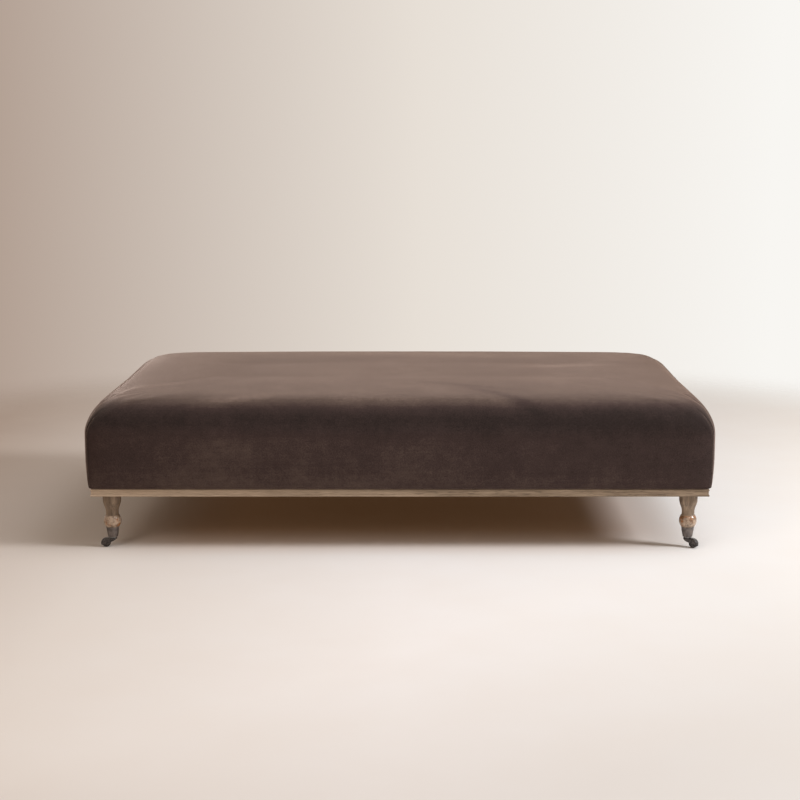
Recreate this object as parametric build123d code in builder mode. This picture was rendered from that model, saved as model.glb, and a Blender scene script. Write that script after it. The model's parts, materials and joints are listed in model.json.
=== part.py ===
from build123d import *
from math import cos, pi, radians, sin
import os

# A rectangular ottoman coffee table: a velvet body on a moulded oak plinth rail, with four turned
# legs on antique cup casters. Millimetres. The origin is on the floor under the middle, +Z is up,
# +X runs along the length and the front faces -Y.

# Upholstered body
body_length = 1829.0
body_depth = 1143.0
body_height = 259.0  # from the plinth's top to the top edge of the rounded shoulder
crown_rise = 9.0
crown_run = 330.0  # how far in from the side the crown reaches its full height
shoulder_width = 70.0
shoulder_drop = 92.0
hem_draw = 8.0  # the sides draw in towards the hem, gently over the first height
hem_draw_height = 110.0
hem_tuck = 6.0  # and round under over the second
hem_tuck_height = 20.0
corner_low_radius = 18.0
corner_top_radius = 78.0
corner_growth_start = 105.0
side_bulge = 9.0
hem_bulge = 1.0
crown_bulge = 20.0

# Layers under the velvet
cover_thickness = 1.5
cover_turn_under = 38.0
wrap_thickness = 8.0
layer_gap = 0.3
side_foam_thickness = 29.0
top_foam_thickness = 100.0
hessian_thickness = 1.0
hessian_margin = 6.0
webbing_width = 50.0
webbing_thickness = 2.0
webbing_gap = 0.2
webbing_lap = 26.0  # how far a strap reaches over the rail's top
lengthwise_strap_count = 6
crosswise_strap_count = 11

# Frame
rail_thickness = 32.0
post_size = 60.0
stretcher_thickness = 22.0
stretcher_height = 90.0
stretcher_spacing = 450.0
dowel_diameter = 10.0
dowel_length = 60.0
dowel_low_height = 74.0
dowel_high_height = 122.0
stretcher_screw_length = 70.0
stretcher_screw_low_height = 24.0
stretcher_screw_high_height = 66.0
dust_cover_thickness = 0.8
dust_cover_lap = 18.0

# Plinth
plinth_step = 3.5  # how far the plinth stands out past the hem above it
plinth_thickness = 22.0
plinth_board_width = 95.0
plinth_underside = 163.0
bead_radius = 3.0
edge_recess = 2.2
cove_height = 1.8
lip_height = 4.0
lip_reach = 1.6
lip_round = 1.4
plinth_screw_length = 50.0
plinth_screw_recess = 0.6
plinth_screw_inset = 11.0  # from the rail's inner face
plinth_screw_post_gap = 90.0  # from a corner post to the first screw along the rail
plinth_screw_pitch = 290.0  # about how far apart the screws along a rail are

# Wood screws
screw_shank_diameter = 5.0
screw_head_diameter = 9.6
screw_head_height = 2.8
screw_point_height = 5.0

# Legs, by depth below the plinth's underside
leg_inset = 53.0  # from the plinth's outer edges to the leg's axis
leg_top_radius = 27.2
leg_collar_depth = 12.0
leg_swell_radius = 26.3
leg_swell_depth = 26.0
leg_waist_radius = 21.6
leg_waist_depth = 41.0
leg_neck_radius = 18.6
leg_neck_depth = 58.0
ball_top_radius = 19.0
ball_top_depth = 64.0
ball_radius = 26.0
ball_depth = 81.0
ball_low_radius = 19.4
hanger_bolt_diameter = 8.0
hanger_bolt_in_leg = 45.0
hanger_bolt_in_post = 32.0
hanger_bolt_play = 0.4
insert_diameter = 12.0
insert_length = 18.0

# Caster cup
cup_top = 62.0
cup_bottom = 31.0
cup_rim_radius = 18.8
cup_belly_radius = 17.0
cup_belly_height = 47.0
cup_foot_radius = 14.6
cup_foot_round = 2.0
cup_wall = 1.6
cup_floor = 3.0
cup_lip = 0.7
cup_lip_height = 2.2
cup_fit_gap = 0.05
cup_screw_height = 52.0
cup_screw_length = 13.0
cup_screw_diameter = 3.0
cup_screw_head_diameter = 6.0
cup_screw_head_height = 1.4
cup_screw_proud = 0.5

# Caster swivel and wheel
king_pin_diameter = 7.0
king_pin_top_head_diameter = 13.0
king_pin_top_head_height = 2.0
king_pin_low_head_diameter = 10.0
king_pin_low_head_height = 1.6
king_pin_head_level = 22.0
tip_gap = 0.3
running_gap = 0.05
swivel_play = 0.1
washer_diameter = 22.0
washer_thickness = 1.2
wheel_diameter = 25.0
wheel_width = 9.6
wheel_edge_round = 1.3
wheel_dish_radius = 9.6
wheel_dish_depth = 1.0
hub_diameter = 8.4
hub_width = 10.6
axle_diameter = 4.0
axle_head_diameter = 7.0
axle_head_height = 1.0
axle_head_round = 0.7
trail = 20.0
wheel_well_gap = 1.0
wheel_well_width = 11.0
hood_thickness = 2.0
hood_width = 16.0
hood_round = 4.5
hood_edge_round = 1.0
neck_width = 15.0
neck_round = 2.0
horn_plate_radius = 12.0
horn_plate_level = 28.3
horn_boss_radius = 10.6
horn_heel_level = 24.5
horn_belly_reach = 1.5
horn_belly_level = 17.8
horn_throat_reach = 14.5
horn_throat_level = 11.2
horn_cheek_reach = 24.5
horn_cheek_level = 6.2
horn_back_angle = -27.0
horn_head_pocket_gap = 0.6

overrun = 5.0

# What follows from the sizes above
plinth_top = plinth_underside + plinth_thickness
plinth_reveal = hem_draw + hem_tuck - plinth_step
plinth_length = body_length - 2 * plinth_reveal
plinth_depth = body_depth - 2 * plinth_reveal
half_length = body_length / 2
half_depth = body_depth / 2
wrap_skin = cover_thickness + layer_gap
wrap_inner_skin = wrap_skin + wrap_thickness
foam_skin = wrap_inner_skin + layer_gap
rail_half_x = half_length - foam_skin - side_foam_thickness
rail_half_y = half_depth - foam_skin - side_foam_thickness
frame_bottom = plinth_top + cover_thickness
body_top = plinth_top + body_height + crown_rise
pad_bottom = body_top - foam_skin - top_foam_thickness
hessian_bottom = pad_bottom - hessian_thickness
frame_top = hessian_bottom - 2 * (webbing_thickness + webbing_gap)
rail_height = frame_top - frame_bottom
leg_x = plinth_length / 2 - leg_inset
leg_y = plinth_depth / 2 - leg_inset
cup_inside_floor = cup_bottom + cup_floor
king_pin_top = cup_inside_floor + king_pin_top_head_height
leg_tip = king_pin_top + tip_gap
cup_inside_rim_radius = cup_rim_radius - cup_wall
cup_inside_floor_radius = cup_foot_radius - cup_wall
boss_top = cup_bottom - washer_thickness - swivel_play
wheel_radius = wheel_diameter / 2
hood_radius = wheel_radius + wheel_well_gap + hood_thickness

# Corner name: side along X, side along Y, and the way its caster trails, in degrees from +X
corners = {
    "front_left": (-1, -1, 180.0),
    "front_right": (1, -1, -40.0),
    "rear_left": (-1, 1, 152.0),
    "rear_right": (1, 1, 18.0),
}
leg_places = [(side_x * leg_x, side_y * leg_y) for side_x, side_y, _ in corners.values()]


def write(part, name):
    part.label = name
    export_step(part, f"parts/{name}.step")
    print(name, round(part.volume), "mm3")


def smooth(share):
    share = min(max(share, 0), 1)
    return share * share * (3 - 2 * share)


# Upholstered body: every layer is the same form, drawn in by the layers outside it
def drawn_in(height):
    gentle = max(1 - height / hem_draw_height, 0)
    tight = max(1 - height / hem_tuck_height, 0)
    return hem_draw * gentle**2 + hem_tuck * tight**2


def corner_radius(height):
    growth = smooth((height - corner_growth_start) / (body_height - corner_growth_start))
    return corner_low_radius + (corner_top_radius - corner_low_radius) * growth


def form_rings(skin, base):
    """Level, inset, corner radius and side bulge of each ring, from the base up to the crown."""
    shoulder_start = body_height - shoulder_drop
    side_shares = (0.04, 0.1, 0.22, 0.45, 0.72, 1.0)
    shoulder_angles = (14.0, 27.0, 39.0, 50.0, 60.0, 69.0, 77.0, 84.0)
    crown_shares = (0.2, 0.45, 0.7, 1.0)
    rings = []
    for height in [base] + [base + share * (shoulder_start - base) for share in side_shares]:
        draw = drawn_in(height)
        bulge = hem_bulge + (side_bulge - hem_bulge) * (1 - draw / (hem_draw + hem_tuck))
        rings.append((height, skin + draw, corner_radius(height) - skin, bulge))
    for angle in shoulder_angles:
        rise = (shoulder_drop - skin) * sin(radians(angle))
        inset = skin + (shoulder_width - skin) * (1 - cos(radians(angle)))
        height = shoulder_start + rise
        rings.append((height, inset, corner_radius(height) - skin, side_bulge))
    for share in crown_shares:
        inset = shoulder_width + share * (crown_run - shoulder_width)
        rise = crown_rise * (1 - (1 - share) ** 2)
        bulge = side_bulge + (crown_bulge - side_bulge) * share
        rings.append((body_height - skin + rise, inset, corner_top_radius, bulge))
    return rings


def body_form(skin, base):
    """The body's form drawn in by skin all round, from base above the plinth up to its crown.

    Each ring is four shallow side arcs joined by four corner arcs."""
    with BuildPart() as form:
        for height, inset, corner, bulge in form_rings(skin, base):
            mid_x = half_length - inset
            mid_y = half_depth - inset
            side_x = mid_x - bulge
            side_y = mid_y - bulge
            turn_x = side_x - corner
            turn_y = side_y - corner
            lean_x = turn_x + corner * cos(pi / 4)
            lean_y = turn_y + corner * sin(pi / 4)
            with BuildSketch(Plane.XY.offset(plinth_top + height)):
                with BuildLine():
                    ThreePointArc((side_x, -turn_y), (mid_x, 0), (side_x, turn_y))
                    ThreePointArc((side_x, turn_y), (lean_x, lean_y), (turn_x, side_y))
                    ThreePointArc((turn_x, side_y), (0, mid_y), (-turn_x, side_y))
                    ThreePointArc((-turn_x, side_y), (-lean_x, lean_y), (-side_x, turn_y))
                    ThreePointArc((-side_x, turn_y), (-mid_x, 0), (-side_x, -turn_y))
                    ThreePointArc((-side_x, -turn_y), (-lean_x, -lean_y), (-turn_x, -side_y))
                    ThreePointArc((-turn_x, -side_y), (0, -mid_y), (turn_x, -side_y))
                    ThreePointArc((turn_x, -side_y), (lean_x, -lean_y), (side_x, -turn_y))
                make_face()
        loft(ruled=True)
    return form.part


with BuildPart() as velvet_cover:
    add(body_form(0, 0))
    add(body_form(cover_thickness, cover_thickness), mode=Mode.SUBTRACT)
    with Locations((0, 0, plinth_top)):
        Box(
            body_length - 2 * (hem_draw + hem_tuck + cover_turn_under),
            body_depth - 2 * (hem_draw + hem_tuck + cover_turn_under),
            2 * overrun,
            mode=Mode.SUBTRACT,
        )
write(velvet_cover.part, "velvet_cover")

with BuildPart() as fibre_wrap:
    add(body_form(wrap_skin, cover_thickness))
    add(body_form(wrap_inner_skin, cover_thickness), mode=Mode.SUBTRACT)
write(fibre_wrap.part, "fibre_wrap")

foam_form = body_form(foam_skin, cover_thickness)

with BuildPart() as foam_top_pad:
    add(foam_form)
    split(bisect_by=Plane.XY.offset(pad_bottom), keep=Keep.TOP)
write(foam_top_pad.part, "foam_top_pad")

side_foam_top = pad_bottom - layer_gap
for name, side_x, side_y in (
    ("foam_side_front", 0, -1),
    ("foam_side_back", 0, 1),
    ("foam_side_left", -1, 0),
    ("foam_side_right", 1, 0),
):
    reach_x = body_length if side_y else side_foam_thickness + overrun
    reach_y = side_foam_thickness + overrun if side_y else 2 * rail_half_y
    with BuildPart() as side_foam:
        add(foam_form)
        split(bisect_by=Plane.XY.offset(side_foam_top), keep=Keep.BOTTOM)
        with Locations((side_x * rail_half_x, side_y * rail_half_y, frame_bottom)):
            Box(
                reach_x,
                reach_y,
                2 * body_height,
                align=(
                    (Align.MAX, Align.CENTER, Align.MIN)[side_x + 1],
                    (Align.MAX, Align.CENTER, Align.MIN)[side_y + 1],
                    Align.CENTER,
                ),
                mode=Mode.INTERSECT,
            )
    write(side_foam.part, name)


# Webbing: each strap rises over every second crossing strap
def strap(length, crossings, first_over):
    """A strap along its own X axis, centred, that weaves over and under the crossings."""
    over = webbing_thickness + webbing_gap
    margin = webbing_width / 2 + webbing_thickness
    points = [(-length / 2, 0)]
    for index, place in enumerate(crossings):
        if (index + first_over) % 2:
            points += [(place - margin, over), (place + margin, over)]
        else:
            points += [(place - margin, 0), (place + margin, 0)]
    points.append((length / 2, 0))
    top = [(place, level + webbing_thickness) for place, level in reversed(points)]
    with BuildPart() as woven:
        with BuildSketch(Plane.XZ):
            with BuildLine():
                Polyline(*points, *top, close=True)
            make_face()
        extrude(amount=webbing_width / 2, both=True)
    return woven.part


def spread(count, span):
    pitch = span / count
    return [(index - (count - 1) / 2) * pitch for index in range(count)]


lengthwise_places = spread(lengthwise_strap_count, 2 * (rail_half_y - rail_thickness))
crosswise_places = spread(crosswise_strap_count, 2 * (rail_half_x - rail_thickness))
lengthwise_reach = 2 * (rail_half_x - rail_thickness + webbing_lap)
crosswise_reach = 2 * (rail_half_y - rail_thickness + webbing_lap)

with BuildPart() as webbing_lengthwise:
    for index, place in enumerate(lengthwise_places):
        with Locations((0, place, frame_top)):
            add(strap(lengthwise_reach, crosswise_places, index))
write(webbing_lengthwise.part, "webbing_lengthwise")

with BuildPart() as webbing_crosswise:
    for index, place in enumerate(crosswise_places):
        with Locations(Location((place, 0, frame_top), (0, 0, 90))):
            add(strap(crosswise_reach, lengthwise_places, index + 1))
write(webbing_crosswise.part, "webbing_crosswise")

with BuildPart() as hessian_layer:
    with Locations((0, 0, hessian_bottom)):
        Box(
            2 * (rail_half_x - hessian_margin),
            2 * (rail_half_y - hessian_margin),
            hessian_thickness - layer_gap,
            align=(Align.CENTER, Align.CENTER, Align.MIN),
        )
write(hessian_layer.part, "hessian_layer")


# Screws stand on their own Z axis: the head's flat face at the origin, the point up
def screw_solid(length, shank_diameter, head_diameter, head_height, point_height):
    with BuildPart() as screw:
        with BuildSketch(Plane.XZ):
            with BuildLine():
                Polyline(
                    (0, 0),
                    (head_diameter / 2, 0),
                    (shank_diameter / 2, head_height),
                    (shank_diameter / 2, length - point_height),
                    (0, length),
                    close=True,
                )
            make_face()
        revolve(axis=Axis.Z)
    return screw.part


plinth_screw = screw_solid(
    plinth_screw_length,
    screw_shank_diameter,
    screw_head_diameter,
    screw_head_height,
    screw_point_height,
)
stretcher_screw = screw_solid(
    stretcher_screw_length,
    screw_shank_diameter,
    screw_head_diameter,
    screw_head_height,
    screw_point_height,
)

plinth_screw_level = plinth_underside + plinth_screw_recess
plinth_screw_x = rail_half_x - rail_thickness + plinth_screw_inset
plinth_screw_y = rail_half_y - rail_thickness + plinth_screw_inset


def screw_pattern(rail_half_run):
    """Spacing and count of the plinth screws along a rail, with none at its middle stretcher."""
    run = 2 * (rail_half_run - post_size - plinth_screw_post_gap)
    pairs = max(round((run / plinth_screw_pitch + 1) / 2), 1)
    return run / (2 * pairs - 1), 2 * pairs


long_spacing, long_count = screw_pattern(rail_half_x)
short_spacing, short_count = screw_pattern(rail_half_y)
print("plinth screws", long_count, "and", short_count, "along each rail")
with BuildPart() as plinth_screws:
    with Locations((0, 0, plinth_screw_level)):
        with GridLocations(long_spacing, 2 * plinth_screw_y, long_count, 2):
            add(plinth_screw)
        with GridLocations(2 * plinth_screw_x, short_spacing, 2, short_count):
            add(plinth_screw)
write(plinth_screws.part, "plinth_screws")

stretcher_places = [-stretcher_spacing, 0, stretcher_spacing]
with BuildPart() as stretcher_screws:
    for place in stretcher_places:
        for height in (stretcher_screw_low_height, stretcher_screw_high_height):
            level = frame_bottom + height
            with Locations(
                Plane((place, -rail_half_y, level), x_dir=(1, 0, 0), z_dir=(0, 1, 0)),
                Plane((place, rail_half_y, level), x_dir=(1, 0, 0), z_dir=(0, -1, 0)),
            ):
                add(stretcher_screw)
write(stretcher_screws.part, "stretcher_screws")

dowel_line_x = rail_half_x - rail_thickness / 2
dowel_line_y = rail_half_y - rail_thickness / 2
dowel_joint_x = rail_half_x - post_size
dowel_joint_y = rail_half_y - post_size
with BuildPart() as frame_dowels:
    for side_x, side_y, _ in corners.values():
        for height in (dowel_low_height, dowel_high_height):
            level = frame_bottom + height
            along_x = (side_x * dowel_joint_x, side_y * dowel_line_y, level)
            along_y = (side_x * dowel_line_x, side_y * dowel_joint_y, level)
            with Locations(Plane(along_x, z_dir=(1, 0, 0)), Plane(along_y, z_dir=(0, 1, 0))):
                Cylinder(dowel_diameter / 2, dowel_length)
write(frame_dowels.part, "frame_dowels")

# Hanger bolts run from the leg through the plinth into an insert in the corner post
bolt_bottom = plinth_underside - hanger_bolt_in_leg
bolt_top = plinth_top + hanger_bolt_in_post
with BuildPart() as hanger_bolts:
    with Locations(*[(x, y, bolt_bottom) for x, y in leg_places]):
        Cylinder(
            hanger_bolt_diameter / 2,
            bolt_top - bolt_bottom,
            align=(Align.CENTER, Align.CENTER, Align.MIN),
        )
write(hanger_bolts.part, "hanger_bolts")

with BuildPart() as threaded_inserts:
    with Locations(*[(x, y, frame_bottom) for x, y in leg_places]):
        Cylinder(
            insert_diameter / 2,
            insert_length,
            align=(Align.CENTER, Align.CENTER, Align.MIN),
        )
    add(hanger_bolts.part, mode=Mode.SUBTRACT)
write(threaded_inserts.part, "threaded_inserts")

# What every bolt hole is cut with: the bolt and its clearance
with BuildPart() as bolt_clearance:
    with Locations(*[(x, y, plinth_underside) for x, y in leg_places]):
        Cylinder(
            hanger_bolt_diameter / 2 + hanger_bolt_play,
            bolt_top - plinth_underside + hanger_bolt_play,
            align=(Align.CENTER, Align.CENTER, Align.MIN),
        )

# Frame
for name, side_y in (("frame_rail_front", -1), ("frame_rail_back", 1)):
    with BuildPart() as rail:
        with Locations((0, side_y * dowel_line_y, frame_bottom)):
            Box(
                2 * dowel_joint_x,
                rail_thickness,
                rail_height,
                align=(Align.CENTER, Align.CENTER, Align.MIN),
            )
        add(frame_dowels.part, mode=Mode.SUBTRACT)
        add(stretcher_screws.part, mode=Mode.SUBTRACT)
        add(plinth_screws.part, mode=Mode.SUBTRACT)
    write(rail.part, name)

for name, side_x in (("frame_rail_left", -1), ("frame_rail_right", 1)):
    with BuildPart() as rail:
        with Locations((side_x * dowel_line_x, 0, frame_bottom)):
            Box(
                rail_thickness,
                2 * dowel_joint_y,
                rail_height,
                align=(Align.CENTER, Align.CENTER, Align.MIN),
            )
        add(frame_dowels.part, mode=Mode.SUBTRACT)
        add(plinth_screws.part, mode=Mode.SUBTRACT)
    write(rail.part, name)

for corner, (side_x, side_y, _) in corners.items():
    post_x = side_x * (rail_half_x - post_size / 2)
    post_y = side_y * (rail_half_y - post_size / 2)
    with BuildPart() as post:
        with Locations((post_x, post_y, frame_bottom)):
            Box(
                post_size,
                post_size,
                rail_height,
                align=(Align.CENTER, Align.CENTER, Align.MIN),
            )
        add(frame_dowels.part, mode=Mode.SUBTRACT)
        add(threaded_inserts.part, mode=Mode.SUBTRACT)
        add(bolt_clearance.part, mode=Mode.SUBTRACT)
    write(post.part, f"frame_post_{corner}")

stretcher_length = 2 * (rail_half_y - rail_thickness)
for name, place in zip(("left", "middle", "right"), stretcher_places):
    with BuildPart() as stretcher:
        with Locations((place, 0, frame_bottom)):
            Box(
                stretcher_thickness,
                stretcher_length,
                stretcher_height,
                align=(Align.CENTER, Align.CENTER, Align.MIN),
            )
        add(stretcher_screws.part, mode=Mode.SUBTRACT)
    write(stretcher.part, f"frame_stretcher_{name}")

with BuildPart() as dust_cover:
    with Locations((0, 0, frame_bottom)):
        Box(
            2 * (rail_half_x - rail_thickness + dust_cover_lap),
            2 * (rail_half_y - rail_thickness + dust_cover_lap),
            dust_cover_thickness,
            align=(Align.CENTER, Align.CENTER, Align.MAX),
        )
    add(plinth_screws.part, mode=Mode.SUBTRACT)
    add(bolt_clearance.part, mode=Mode.SUBTRACT)
write(dust_cover.part, "dust_cover")


# Plinth: four mitred boards with a bead, a shallow recess and a small lip round the outer edge
def plinth_board(half_run, half_span):
    """A board along its own X axis, at half_span on its -Y side, mitred at both ends."""
    recess = -edge_recess
    cove_start = 2 * bead_radius
    lip_start = plinth_thickness - lip_height
    lip_front = recess + lip_reach
    lip_turn = plinth_thickness - lip_round
    lean = bead_radius * (1 - cos(pi / 4))
    section_plane = Plane((0, -half_span, plinth_underside), x_dir=(0, -1, 0), z_dir=(-1, 0, 0))
    with BuildPart() as board:
        with BuildSketch(section_plane):
            with BuildLine():
                Line((-plinth_board_width, 0), (-bead_radius, 0))
                ThreePointArc((-bead_radius, 0), (-lean, lean), (0, bead_radius))
                ThreePointArc((0, bead_radius), (-lean, cove_start - lean), (recess, cove_start))
                Line((recess, cove_start), (recess, lip_start - cove_height))
                Line((recess, lip_start - cove_height), (lip_front, lip_start))
                Line((lip_front, lip_start), (lip_front, lip_turn))
                Line((lip_front, lip_turn), (lip_front - lip_round, plinth_thickness))
                Polyline(
                    (lip_front - lip_round, plinth_thickness),
                    (-plinth_board_width, plinth_thickness),
                    (-plinth_board_width, 0),
                )
            make_face()
        extrude(amount=half_run, both=True)
        for side in (-1, 1):
            outer_corner = (side * half_run, -half_span, plinth_underside)
            split(
                bisect_by=Plane(outer_corner, x_dir=(0, 0, 1), z_dir=(side, 1, 0)),
                keep=Keep.BOTTOM,
            )
    return board.part


long_board = plinth_board(plinth_length / 2, plinth_depth / 2)
short_board = plinth_board(plinth_depth / 2, plinth_length / 2)
for name, board, turn in (
    ("plinth_front", long_board, 0),
    ("plinth_back", long_board, 180),
    ("plinth_left", short_board, -90),
    ("plinth_right", short_board, 90),
):
    with BuildPart() as plinth:
        with Locations(Location((0, 0, 0), (0, 0, turn))):
            add(board)
        add(plinth_screws.part, mode=Mode.SUBTRACT)
        add(bolt_clearance.part, mode=Mode.SUBTRACT)
    write(plinth.part, name)


# Casters, cups and legs: each is turned on the leg's own axis
def upright(x, y, angle=0):
    """The plane through the leg's axis, its X pointing along angle and its Y up."""
    ahead = (cos(radians(angle)), sin(radians(angle)), 0)
    return Plane((x, y, 0), x_dir=ahead, z_dir=(ahead[1], -ahead[0], 0))


def cup_inside_radius(height):
    """The cup's straight taper inside, which the leg's end is turned to."""
    share = (height - cup_inside_floor) / (cup_top - cup_inside_floor)
    return cup_inside_floor_radius + share * (cup_inside_rim_radius - cup_inside_floor_radius)


cup_screw = screw_solid(
    cup_screw_length,
    cup_screw_diameter,
    cup_screw_head_diameter,
    cup_screw_head_height,
    cup_screw_diameter,
)
cup_screw_reach = cup_inside_radius(cup_screw_height) + cup_wall + cup_screw_proud
with BuildPart() as cup_screws:
    for x, y in leg_places:
        with Locations(
            Plane((x - cup_screw_reach, y, cup_screw_height), z_dir=(1, 0, 0)),
            Plane((x + cup_screw_reach, y, cup_screw_height), z_dir=(-1, 0, 0)),
        ):
            add(cup_screw)
write(cup_screws.part, "cup_screws")


king_pin_low = king_pin_head_level - swivel_play - king_pin_low_head_height
with BuildPart() as king_pins:
    for x, y in leg_places:
        with BuildSketch(upright(x, y)):
            with BuildLine():
                Polyline(
                    (0, king_pin_low),
                    (king_pin_low_head_diameter / 2, king_pin_low),
                    (king_pin_low_head_diameter / 2, king_pin_low + king_pin_low_head_height),
                    (king_pin_diameter / 2, king_pin_low + king_pin_low_head_height),
                    (king_pin_diameter / 2, cup_inside_floor),
                    (king_pin_top_head_diameter / 2, cup_inside_floor),
                    (king_pin_top_head_diameter / 2, king_pin_top),
                    (0, king_pin_top),
                    close=True,
                )
            make_face()
        revolve(axis=Axis((x, y, 0), (0, 0, 1)))
write(king_pins.part, "king_pins")

with BuildPart() as thrust_washers:
    with Locations(*[(x, y, cup_bottom) for x, y in leg_places]):
        Cylinder(
            washer_diameter / 2,
            washer_thickness,
            align=(Align.CENTER, Align.CENTER, Align.MAX),
        )
    add(king_pins.part, mode=Mode.SUBTRACT)
write(thrust_washers.part, "thrust_washers")


def make_leg(x, y):
    """A turned leg: a tapering vase, a neck, a ball and the end that the cup holds."""
    top = plinth_underside
    collar = (leg_top_radius, top - leg_collar_depth)
    swell = (leg_swell_radius, top - leg_swell_depth)
    waist = (leg_waist_radius, top - leg_waist_depth)
    neck = (leg_neck_radius, top - leg_neck_depth)
    neck_end = (leg_neck_radius, top - ball_top_depth)
    ball_start = (ball_top_radius, top - ball_top_depth)
    ball_widest = (ball_radius, top - ball_depth)
    ball_end = (ball_low_radius, cup_top)
    cup_mouth = (cup_inside_radius(cup_top) - cup_fit_gap, cup_top)
    tip = (cup_inside_radius(leg_tip) - cup_fit_gap, leg_tip)
    with BuildPart() as leg:
        with BuildSketch(upright(x, y)):
            with BuildLine():
                Polyline((0, top), (leg_top_radius, top), collar)
                Spline(collar, swell, waist, neck, tangents=((0, -1), (0, -1)))
                Polyline(neck, neck_end, ball_start)
                ThreePointArc(ball_start, ball_widest, ball_end)
                Polyline(ball_end, cup_mouth, tip, (0, leg_tip), (0, top))
            make_face()
        revolve(axis=Axis((x, y, 0), (0, 0, 1)))
        add(hanger_bolts.part, mode=Mode.SUBTRACT)
        add(cup_screws.part, mode=Mode.SUBTRACT)
    return leg.part


def make_cup(x, y):
    """A cup: a bell outside, a straight taper inside and a small lip at its mouth."""
    lip_low = (cup_rim_radius, cup_top - cup_lip_height)
    lip_mid = (cup_rim_radius + cup_lip, cup_top - cup_lip_height / 2)
    rim = (cup_rim_radius, cup_top)
    belly = (cup_belly_radius, cup_belly_height)
    foot = (cup_foot_radius, cup_bottom + cup_foot_round)
    foot_lean = cup_foot_round * (1 - cos(pi / 4))
    foot_turn = (cup_foot_radius - foot_lean, cup_bottom + foot_lean)
    foot_flat = (cup_foot_radius - cup_foot_round, cup_bottom)
    with BuildPart() as cup:
        with BuildSketch(upright(x, y)):
            with BuildLine():
                Line((0, cup_bottom), foot_flat)
                ThreePointArc(foot_flat, foot_turn, foot)
                ThreePointArc(foot, belly, lip_low)
                ThreePointArc(lip_low, lip_mid, rim)
                Polyline(
                    rim,
                    (cup_inside_rim_radius, cup_top),
                    (cup_inside_floor_radius, cup_inside_floor),
                    (0, cup_inside_floor),
                    (0, cup_bottom),
                )
            make_face()
        revolve(axis=Axis((x, y, 0), (0, 0, 1)))
        add(cup_screws.part, mode=Mode.SUBTRACT)
        add(king_pins.part, mode=Mode.SUBTRACT)
    return cup.part


def make_horn(x, y, angle):
    """The swivelling horn: a round plate, a hood over the wheel, two cheeks and a belly."""
    side_plane = upright(x, y, angle)
    back = radians(horn_back_angle)
    plate_front = (-horn_plate_radius, horn_plate_level)
    plate_back = (horn_throat_reach, horn_plate_level)
    hood_top = (trail, wheel_radius + hood_radius)
    hood_back = (trail + hood_radius, wheel_radius)
    hood_end = (trail + hood_radius * cos(back), wheel_radius + hood_radius * sin(back))
    cheek = (horn_cheek_reach, horn_cheek_level)
    throat = (horn_throat_reach, horn_throat_level)
    belly = (horn_belly_reach, horn_belly_level)
    heel = (-horn_plate_radius, horn_heel_level)
    with BuildPart() as blank:
        with BuildSketch(side_plane):
            with BuildLine():
                Polyline(plate_front, plate_back, hood_top)
                ThreePointArc(hood_top, hood_back, hood_end)
                Polyline(hood_end, cheek, throat)
                ThreePointArc(throat, belly, heel)
                Line(heel, plate_front)
            make_face()
        extrude(amount=horn_plate_radius, both=True)
    with BuildPart() as hood:
        with Locations(wheel_plane(x, y, angle)):
            Cylinder(hood_radius, hood_width)
        fillet(hood.edges().filter_by(GeomType.CIRCLE), radius=hood_round)
        add(blank.part, mode=Mode.INTERSECT)
        fillet(hood.edges(), radius=hood_edge_round)
    with BuildPart() as neck:
        add(blank.part)
        with BuildSketch(Plane((x, y, 0), x_dir=side_plane.x_dir)):
            Circle(horn_plate_radius)
            with Locations((trail / 2, 0)):
                Rectangle(trail, neck_width)
        extrude(amount=horn_plate_level + overrun, mode=Mode.INTERSECT)
        fillet(neck.edges(), radius=neck_round)
    with BuildPart() as horn:
        add(neck.part)
        add(hood.part)
        with Locations((x, y, boss_top)):
            Cylinder(
                horn_boss_radius,
                boss_top - horn_plate_level + neck_round,
                align=(Align.CENTER, Align.CENTER, Align.MAX),
            )
        with Locations(wheel_plane(x, y, angle)):
            Cylinder(wheel_radius + wheel_well_gap, wheel_well_width, mode=Mode.SUBTRACT)
            Cylinder(axle_diameter / 2, hood_width + 2 * overrun, mode=Mode.SUBTRACT)
        with Locations((x, y, 0)):
            Cylinder(
                king_pin_diameter / 2 + running_gap,
                cup_bottom,
                align=(Align.CENTER, Align.CENTER, Align.MIN),
                mode=Mode.SUBTRACT,
            )
            Cylinder(
                king_pin_low_head_diameter / 2 + horn_head_pocket_gap,
                king_pin_head_level,
                align=(Align.CENTER, Align.CENTER, Align.MIN),
                mode=Mode.SUBTRACT,
            )
    return horn.part


def wheel_plane(x, y, angle):
    """The plane through the wheel's middle, its Z along the axle."""
    side_plane = upright(x, y, angle)
    centre = Vector(x, y, wheel_radius) + side_plane.x_dir * trail
    return Plane(centre, x_dir=side_plane.x_dir, z_dir=side_plane.z_dir)


def make_axle(x, y, angle):
    """The axle riveted through both cheeks, with a rounded head outside each."""
    middle = wheel_plane(x, y, angle)
    axle_line = Axis(middle.origin, middle.z_dir)
    with BuildPart() as axle:
        with Locations(middle):
            for side in (-1, 1):
                with Locations((0, 0, side * (hood_width + axle_head_height) / 2)):
                    Cylinder(axle_head_diameter / 2, axle_head_height)
            Cylinder(axle_diameter / 2, hood_width)
        for end in (0, -1):
            fillet(axle.faces().sort_by(axle_line)[end].edges(), radius=axle_head_round)
    return axle.part


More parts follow.
